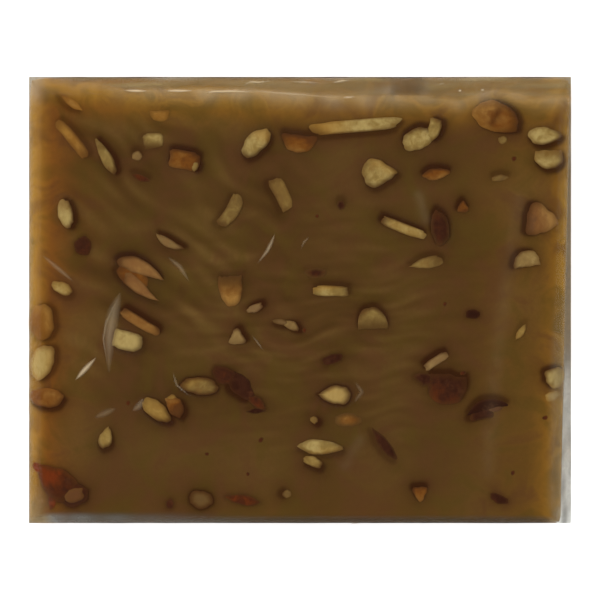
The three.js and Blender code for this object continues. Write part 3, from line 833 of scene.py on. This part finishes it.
def crease_mesh(points, width, pale):
    """A sharp crease: a thin strip of film that stands up along a line, tapers to its ends and is painted
    pale along its crest, as sheen.
    """
    steps = np.linspace(0, 1, CREASE_STEPS)
    marks = np.linspace(0, 1, len(points))
    path = np.stack([np.interp(steps, marks, line) for line in np.transpose(points)], axis=1)
    way = np.gradient(path, axis=0)
    way /= np.hypot(*way.T)[:, None]
    taper = np.sin(pi * np.clip(steps, 0.02, 0.98)) ** 0.6
    rows = np.array([-1, -0.5, 0, 0.5, 1])
    aside = np.outer(taper, rows) * width / 2
    x = (path[:, 0, None] - way[:, 1, None] * aside).ravel()
    y = (path[:, 1, None] + way[:, 0, None] * aside).ravel()
    crest = np.outer(taper, 1 - np.abs(rows)).ravel()
    base = height_at(x, y)
    slope = (height_at(x, y + 0.01) - base) / 0.01
    lift = top_lift(x, y) + film_ridges(x, y)[0] + 0.02 + 0.12 * crest
    height = base + lift * np.hypot(1, slope)
    looks = dict.fromkeys(["seal", "pallor", "tan"], np.zeros(len(x)))
    looks["haze"] = pale * crest
    return np.stack([x, y, height], axis=1), grid_faces((len(steps), len(rows)), flip=True), looks


def gathered_film(x, y):
    """How much the film is covered where it is gathered: milky along its edges and at three corners, and
    painted shade along the front.
    """
    fold = ease(0, 1, past_fold(x, y))
    streaks = waves(y, x, 2.4, seed=14, stretch=10)
    ripple = 1 + 0.3 * waves(x, y, 7, seed=15)
    to_right = inside_right(x, y)
    sides = [
        fold * (0.42 + 0.28 * streaks * (1 - thin_patch(x))),
        0.4 * ease(-66, -73, x) * ease(50, 58, y),
        0.35 * ease(-71.5, -73.5, x),
        # Along the front the cover is a painted shade.
        0.8 * ease(-5, -72, x) * ease(-57, -59, y) * ripple,
        0.6 * ease(-58, -60, y),
        0.5 * ease(1.2, 0, to_right),
        0.4 * ease(5, 0.5, to_right) * ease(8, -16, y),
        0.5 * ease(-66, -73, x) * ease(-48, -58, y),
        0.8 * ease(66.5, 71, x) * ease(-53, -57, y),
    ]
    return np.clip(np.maximum.reduce(sides), 0, 1)


def thin_patch(x):
    """Where the gathered film at the back is thin and dark, from 0 to 1."""
    return np.exp(-(((x - 29) / 5.5) ** 4))


def film_pallor(x, y):
    """Colour of gathered or sealed film, from dark to pale grey: the dark grey along the front is painted
    shade.
    """
    front, back = ease(-55, -58, y), ease(40, 50, y)
    past_wall = ease(0.3, -0.3, inside_right(x, y))
    streaks = waves(y, x, 3.1, seed=16, stretch=8) * back
    strands = 0.85 + 0.25 * waves(x, y, 3, seed=17, stretch=3)
    # At the back the film is streaked, and painted darker at its very edge as shade where it turns down.
    plain = 0.25 * (1 - streaks - ease(59.2, 60.4, y))
    sides = [
        plain * (1 - front) * (1 - thin_patch(x) * back),
        # Painted shade: dark grey film along the front.
        front * (0.09 * ease(0, -40, x) + 0.16 * ease(-55, -72, x)),
        0.32 * ease(-71, -73.5, x),
        past_wall * np.maximum(0.5, ease(-6, -26, y) * strands),
        0.5 * ease(66.5, 71, x) * ease(-53, -57, y),
        0.65 * ease(-64, -72, x) * ease(48, 56, y),
    ]
    return np.clip(np.maximum.reduce(sides), 0, 1)


def film_tan(x, y):
    """How tan gathered film is, at the back and the sides, but less in the thin patch and one corner."""
    back = ease(40, 52, y) * (0.9 - 0.6 * ease(59.4, 60.6, y)) * (1 - thin_patch(x))
    on_slab = ease(-0.3, 0.3, inside_right(x, y))
    upper = ease(-26, -6, y)
    sides = 0.7 * ease(66, 70, np.abs(x)) * np.maximum(on_slab, upper)
    corner = ease(-64, -72, x) * ease(46, 54, y)
    return np.maximum(back, sides) * (1 - 0.4 * corner)


def film_looks(x, y, haze, seal):
    """Values on a film's vertices that its material reads."""
    return {"haze": haze, "seal": seal, "pallor": film_pallor(x, y), "tan": film_tan(x, y)}


def out_to_rim(grid, x, y, share):
    """Places in plan moved by a share of their way out to the film's rim."""
    rim_x = grid.x + grid.square_x * (RIM_X - np.abs(grid.x))
    rim_y = grid.y + grid.square_y * (RIM_Y - np.abs(grid.y))
    return x + share * (rim_x - x), y + share * (rim_y - y)


def rim_sway(x, y):
    """How far the film's rim sways up and down."""
    return 0.22 * waves(x, y, 14, seed=22)


def upper_film_mesh():
    """The upper film: over the top, down the walls and out to the rim."""
    grid = sheet_grid(*UPPER_FILM_CELLS)
    edge_end, wall_end, fillet_end = 0.3, 0.74, 0.82
    arc, _, height = down_the_walls(grid, edge_end, wall_end, RIM_HEIGHT + RIM_GAP + RIM_FILLET)
    fillet = share_between(grid.share, wall_end, fillet_end) * pi / 2
    outward = share_between(grid.share, fillet_end, 1)
    height -= RIM_FILLET * np.sin(fillet)
    x, y = around_slab(grid, np.sin(arc), RIM_FILLET * (1 - np.cos(fillet)))
    x, y = out_to_rim(grid, x, y, outward)
    on_upper = 1 - ease(0.22, 0.36, grid.share)
    on_wall = ease(0.24, 0.4, grid.share) * (1 - ease(0.7, 0.8, grid.share))
    on_rim = ease(0.76, 0.86, grid.share)
    ridge, haze = film_ridges(x, y)
    lift = (top_lift(x, y) + ridge) * on_upper + wall_lift(x, y, height, grid, on_upper)
    along = np.where(np.abs(grid.nx) > np.abs(grid.ny), y, x)
    wrinkles = waves(along, height, 5, seed=21, stretch=4)
    turn = np.arctan2(np.abs(grid.ny), np.abs(grid.nx))
    pleats = np.abs(2 * grid.nx * grid.ny) * np.sin(6 * turn) ** 2
    pleats *= ease(0.2, 0.7, grid.share) * (1 - on_rim)
    offset = lift + 0.14 * wrinkles * on_wall + 0.6 * pleats
    vertices = pushed_out(grid, x, y, height + rim_sway(x, y) * outward, arc - fillet, offset)
    # Faint haze down the walls, with painted sheen on the crests of the wrinkles.
    wall_haze_and_sheen = (0.03 + 0.12 * np.maximum(wrinkles, 0) ** 2) * on_wall
    seal = np.maximum(on_rim, gathered_film(x, y) * (1 - ease(0.3, 0.45, grid.share)))
    return vertices, grid_faces(grid.shape), film_looks(x, y, np.maximum(haze, wall_haze_and_sheen), seal)


def lower_film_mesh():
    """The lower film: flat under the slab, up round its foot and out to the rim."""
    grid = sheet_grid(*LOWER_FILM_CELLS)
    foot_end, level_end = 0.45, 0.6
    foot = share_between(grid.share, 0, foot_end) * pi / 2
    level = share_between(grid.share, foot_end, level_end)
    height = FOOT_RADIUS * (1 - np.cos(foot)) + level * (RIM_HEIGHT - RIM_GAP - FOOT_RADIUS)
    x, y = around_slab(grid, 1, FOOT_RADIUS * (np.sin(foot) - 1))
    x, y = out_to_rim(grid, x, y, share_between(grid.share, level_end, 1))
    height += rim_sway(x, y) * ease(0.7, 1, grid.share)
    looks = film_looks(x, y, np.full(len(x), 0.03), ease(0.5, 0.7, grid.share))
    return np.stack([x, y, height], axis=1), grid_faces(grid.shape, flip=True), looks


def speck_meshes():
    """Tiny dark specks on the sweet."""
    meshes = []
    for index, (x, y) in enumerate(SPECKS, start=1):
        size = spread(index, 0.618, 1.1, 1.9)
        piece = Nut("chip", x, y, size, 0.8 * size, spread(index, 0.414, 0, 90), 0.2, fade=0.5)
        meshes.append(nut_mesh(piece, index, on_top))
    return meshes


def linear(red, green, blue):
    """A colour read from a picture, 0 to 255, as light."""
    return tuple(
        value / 255 / 12.92 if value <= 10 else ((value / 255 + 0.055) / 1.055) ** 2.4
        for value in (red, green, blue)
    ) + (1,)


# Colours of the sweet: thinner and thinner towards the light, as a veil over a nut, of its marks,
# and of the painted shadow beside its nuts.
SWEET = SimpleNamespace(
    body=linear(85, 59, 26), amber=linear(126, 87, 30), ruddy=linear(124, 76, 27), gold=linear(186, 142, 52),
    veil=linear(158, 113, 42), pale=linear(112, 84, 42), deep=linear(66, 43, 15), olive=linear(84, 65, 22),
    warm=linear(90, 56, 31), grain=linear(60, 38, 14), shade=linear(48, 20, 5),
)

# Colours of marks on the nuts, of the painted shade at their edges and in their grooves, and of the film.
# The film's dark grey is also painted shade along the front, and its pale cream is haze with painted sheen.
NUT_BLUSH = linear(137, 105, 71)
NUT_GROOVE_SHADE = linear(72, 36, 10)
NUT_SHADE = linear(64, 32, 10)
FILM_DARK = linear(80, 71, 58)
FILM_PALE = linear(242, 245, 240)
FILM_TAN = linear(152, 126, 76)
FILM_HAZE_AND_SHEEN = linear(220, 196, 158)


class Nodes:
    """A short way to build a tree of shader nodes."""

    def __init__(self, tree):
        self.tree = tree
        self.tree.nodes.clear()

    def add(self, kind, values=None, **settings):
        node = self.tree.nodes.new("ShaderNode" + kind)
        for name, value in settings.items():
            setattr(node, name, value)
        for name, value in (values or {}).items():
            if isinstance(value, bpy.types.NodeSocket):
                self.tree.links.new(value, node.inputs[name])
            else:
                node.inputs[name].default_value = value
        return node

    def look(self, name):
        return self.add("Attribute", attribute_name=name).outputs["Fac"]

    def noise(self, size, detail=4, distortion=0, stretch=(1, 1, 1)):
        place = self.add("TexCoord").outputs["Object"]
        mapping = self.add("Mapping", {"Vector": place, "Scale": stretch})
        values = {
            "Vector": mapping.outputs["Vector"], "Scale": 1 / (size * MM), "Detail": detail,
            "Roughness": 0.55, "Distortion": distortion,
        }
        return self.add("TexNoise", values).outputs["Fac"]

    def ramp(self, factor, stops):
        node = self.add("ValToRGB", {"Fac": factor})
        elements = node.color_ramp.elements
        while len(elements) < len(stops):
            elements.new(1)
        for element, (position, colour) in zip(elements, stops):
            element.position = position
            element.color = colour
        return node.outputs["Color"]

    def span(self, value, low, high, start=0, end=1):
        values = {"Value": value, "From Min": low, "From Max": high, "To Min": start, "To Max": end}
        return self.add("MapRange", values).outputs["Result"]

    def math(self, operation, first, second):
        return self.add("Math", {0: first, 1: second}, operation=operation).outputs["Value"]

    def mix(self, factor, first, second):
        return self.add("Mix", {0: factor, 6: first, 7: second}, data_type="RGBA").outputs[2]

    def layer(self, colour, layers):
        for share, above in layers:
            colour = self.mix(share, colour, above)
        return colour

    def blend(self, factor, first, second):
        return self.add("MixShader", {0: factor, 1: first.outputs[0], 2: second.outputs[0]})

    def bump(self, height, strength, distance):
        values = {"Height": height, "Strength": strength, "Distance": distance * MM}
        return self.add("Bump", values).outputs["Normal"]


def make_material(name, build, *details):
    """A material whose shader comes from a function that builds it."""
    material = bpy.data.materials.new(name)
    material.use_nodes = True
    nodes = Nodes(material.node_tree)
    shader = build(nodes, *details)
    nodes.add("OutputMaterial", {"Surface": shader.outputs[0]})
    return material


def sweet_colour(nodes):
    """Colour of the sweet by how much light comes through it, redder at the left."""
    glow = nodes.look("glow")
    amber, ruddy = [
        nodes.ramp(glow, [(0, SWEET.body), (0.35, middle), (1, SWEET.gold)])
        for middle in (SWEET.amber, SWEET.ruddy)
    ]
    place = nodes.add("TexCoord").outputs["Object"]
    along = nodes.add("SeparateXYZ", {"Vector": place}).outputs["X"]
    return nodes.mix(nodes.span(along, -45 * MM, -62 * MM), amber, ruddy)


def halva_shader(nodes):
    """Dense brown sweet: golden where light comes through it, with painted shadow round its nuts, faintly
    streaked.
    """
    mottle = nodes.look("mottle")
    clouds = nodes.noise(11, 3, distortion=0.8)
    grain = nodes.noise(0.9)
    colour = nodes.layer(sweet_colour(nodes), [
        (nodes.span(mottle, 0, 1, 0, 0.8), SWEET.pale),
        (nodes.span(mottle, 0, -1, 0, 0.8), SWEET.deep),
        (nodes.span(clouds, 0.48, 0.34, 0, 0.5), SWEET.olive),
        (nodes.span(clouds, 0.5, 0.64, 0, 0.5), SWEET.warm),
        (nodes.span(grain, 0.3, 0.7, 0, 0.1), SWEET.grain),
        (nodes.math("MULTIPLY", nodes.look("shade"), 0.85), SWEET.shade),
    ])
    return nodes.add("BsdfPrincipled", {
        "Base Color": colour,
        "Roughness": nodes.span(clouds, 0.3, 0.7, 0.5, 0.65),
        "Subsurface Weight": 0.12,
        "Subsurface Radius": (1, 0.45, 0.15),
        "Subsurface Scale": 2 * MM,
        "Specular IOR Level": 0.04,
        "Normal": nodes.bump(grain, 0.15, 0.15),
    })


def nut_shader(nodes, kind):
    """Cut nut of one kind: mottled, fibrous, darker at its edge, painted shaded at its dark side and in any
    groove, and veiled by sweet where it is covered.
    """
    blotch = nodes.noise(2.6, distortion=0.5)
    fibres = nodes.noise(0.55, 5, stretch=(1, 0.35, 1))
    tone = nodes.math("ADD", nodes.look("tone"), nodes.span(blotch, 0.3, 0.7, -0.25, 0.25))
    body = nodes.ramp(tone, [(place, linear(*colour)) for place, colour in kind.tones])
    edge = linear(*kind.edge)
    colour = nodes.layer(body, [
        (nodes.span(fibres, 0.45, 0.75, 0, 0.22), edge),
        (nodes.span(nodes.look("rim"), 0.75, 1, 0, 0.35), edge),
        (nodes.span(nodes.noise(3.8, 3), 0.6, 0.68, 0, kind.spot_share), linear(*kind.spots)),
        (nodes.look("blush"), NUT_BLUSH),
        # Painted shade in the nut's groove.
        (nodes.math("MULTIPLY", nodes.look("groove"), 0.7), NUT_GROOVE_SHADE),
        (nodes.look("cover"), SWEET.veil),
        (nodes.look("fade"), sweet_colour(nodes)),
        # Painted shade at the nut's edge on its dark side.
        (nodes.math("MULTIPLY", nodes.look("shade"), 0.75), NUT_SHADE),
    ])
    return nodes.add("BsdfPrincipled", {
        "Base Color": colour,
        "Roughness": nodes.span(blotch, 0.3, 0.7, 0.5, 0.65),
        "Subsurface Weight": 0.08,
        "Subsurface Radius": (1, 0.6, 0.3),
        "Subsurface Scale": 0.8 * MM,
        "Specular IOR Level": 0.06,
        "Normal": nodes.bump(fibres, 0.35, 0.12),
    })


def film_shader(nodes):
    """Clear film: glossy, see-through, pale along its creases with painted sheen, and milky where it is
    sealed.
    """
    crinkle = nodes.noise(3, 3, distortion=1)
    normal = nodes.bump(crinkle, 0.12, 0.2)
    clear = nodes.add("BsdfTransparent", {"Color": (0.985, 0.985, 0.98, 1)})
    gloss = nodes.add("BsdfGlossy", {"Roughness": 0.12, "Normal": normal})
    facing = nodes.add("LayerWeight", {"Blend": 0.5, "Normal": normal}).outputs["Facing"]
    mirror = nodes.span(nodes.math("POWER", facing, 5), 0, 1, 0.012, 0.12)
    shine = nodes.blend(mirror, clear, gloss)
    grey = nodes.ramp(nodes.look("pallor"), [(0, FILM_DARK), (1, FILM_PALE)])
    sealed = nodes.mix(nodes.look("tan"), grey, FILM_TAN)
    cloud = nodes.math("MULTIPLY", nodes.look("seal"), nodes.span(crinkle, 0.35, 0.7, 0.8, 1))
    haze = nodes.look("haze")
    cover = nodes.math("MAXIMUM", haze, cloud)
    # The pale cream stands for haze and painted sheen, mostly along the creases.
    creased = nodes.math("DIVIDE", haze, nodes.math("MAXIMUM", cover, 0.001))
    pale = nodes.add("BsdfDiffuse", {"Color": nodes.mix(creased, sealed, FILM_HAZE_AND_SHEEN)})
    return nodes.blend(cover, shine, pale)


def floor_shader(nodes):
    """Plain pale floor."""
    clouds = nodes.span(nodes.noise(60), 0.3, 0.7)
    return nodes.add("BsdfPrincipled", {
        "Base Color": nodes.mix(clouds, (0.93, 0.93, 0.93, 1), (0.95, 0.95, 0.95, 1)),
        "Roughness": 0.8,
        "Emission Color": (1, 1, 1, 1),
        "Emission Strength": 0.55,
    })


def nut_group(kind, first):
    """Mesh of the nuts of one kind: those on the top, and its share of the walls and the underside."""
    placed = [(index, piece, on_top) for index, piece in enumerate(NUT_KINDS[kind].pieces, start=first)]
    others = [(index, piece, partial(on_wall, side)) for index, side, piece in WALL_NUTS]
    others += [(index, piece, underneath) for index, piece in enumerate(UNDERSIDE, start=1)]
    placed += [other for other in others if KIND_ORDER[other[0] % len(KIND_ORDER)] == kind]
    return join_meshes([nut_mesh(piece, index, place) for index, piece, place in placed])


def build_object():
    """The sweet, its nuts and its film."""
    add_piece("halva", *halva_mesh(), make_material("halva", halva_shader), "halva")
    first = 0
    materials = {}
    for kind, details in NUT_KINDS.items():
        slot = f"{kind}_nut"
        materials[kind] = make_material(slot, nut_shader, details)
        add_piece(f"{kind}_nuts", *nut_group(kind, first), materials[kind], slot)
        first += len(details.pieces)
    add_piece("dark_specks", *join_meshes(speck_meshes()), materials["dark"], "dark_nut")
    film = make_material("film", film_shader)
    add_piece("film_upper", *upper_film_mesh(), film, "film")
    add_piece("film_lower", *lower_film_mesh(), film, "film")
    creases = join_meshes([crease_mesh(*crease) for crease in CREASES])
    add_piece("film_creases", *creases, film, "film")


def build_floor():
    """A plain pale floor under the object."""
    half, level = FLOOR_HALF * MM, FLOOR_LEVEL * MM
    mesh = bpy.data.meshes.new("floor")
    corners = [(x * half, y * half, level) for x, y in [(-1, -1), (1, -1), (1, 1), (-1, 1)]]
    mesh.from_pydata(corners, [], [(0, 1, 2, 3)])
    mesh.materials.append(make_material("floor", floor_shader))
    floor = add_object("floor", mesh)


def build_sky():
    """Even soft light from all round, most from the left, and a dark sky straight above.

    The flat film mirrors that part of the sky, so a light there would veil the sweet.
    """
    world = bpy.data.worlds.new("room")
    world.use_nodes = True
    nodes = Nodes(world.node_tree)
    direction = nodes.add("TexCoord").outputs["Generated"]
    height = nodes.add("SeparateXYZ", {"Vector": direction}).outputs["Z"]
    sky = nodes.ramp(height, [(place, (level, level, level, 1)) for place, level in SKY_LEVELS])
    slant = nodes.add("VectorMath", {0: direction, 1: SKY_SLANT}, operation="DOT_PRODUCT")
    strength = nodes.math("MULTIPLY", nodes.math("ADD", slant.outputs["Value"], 1), SKY_STRENGTH)
    background = nodes.add("Background", {"Color": sky, "Strength": strength})
    nodes.add("OutputWorld", {"Surface": background.outputs[0]})
    bpy.context.scene.world = world


def build_softbox():
    """A rectangular soft light at the left that faces the object and isn't mirrored in its film."""
    data = bpy.data.lights.new("light_left", "AREA")
    data.shape = "RECTANGLE"
    data.size, data.size_y = SOFTBOX.width * MM, SOFTBOX.depth * MM
    data.energy = SOFTBOX.power
    light = add_object("light_left", data)
    light.location = (SOFTBOX.x * MM, SOFTBOX.y * MM, SOFTBOX.z * MM)
    light.visible_glossy = False
    tilt = atan2(hypot(SOFTBOX.x, SOFTBOX.y), SOFTBOX.z)
    light.rotation_euler = (tilt, 0, atan2(SOFTBOX.y, SOFTBOX.x) + pi / 2)


def build_camera():
    """The photograph's camera, with the back of the slab at the top of the picture."""
    data = bpy.data.cameras.new("camera")
    data.sensor_width = SENSOR
    view_width = 2 * RIM_X * PICTURE_PIXELS / RIM_PIXELS
    data.lens = SENSOR * (CAMERA_HEIGHT - RIM_HEIGHT) / view_width
    camera = add_object("camera", data)
    camera.location = (0, 0, CAMERA_HEIGHT * MM)
    bpy.context.scene.camera = camera
    bpy.context.scene.view_settings.view_transform = "Standard"


build_object()
build_floor()
build_sky()
build_softbox()
build_camera()
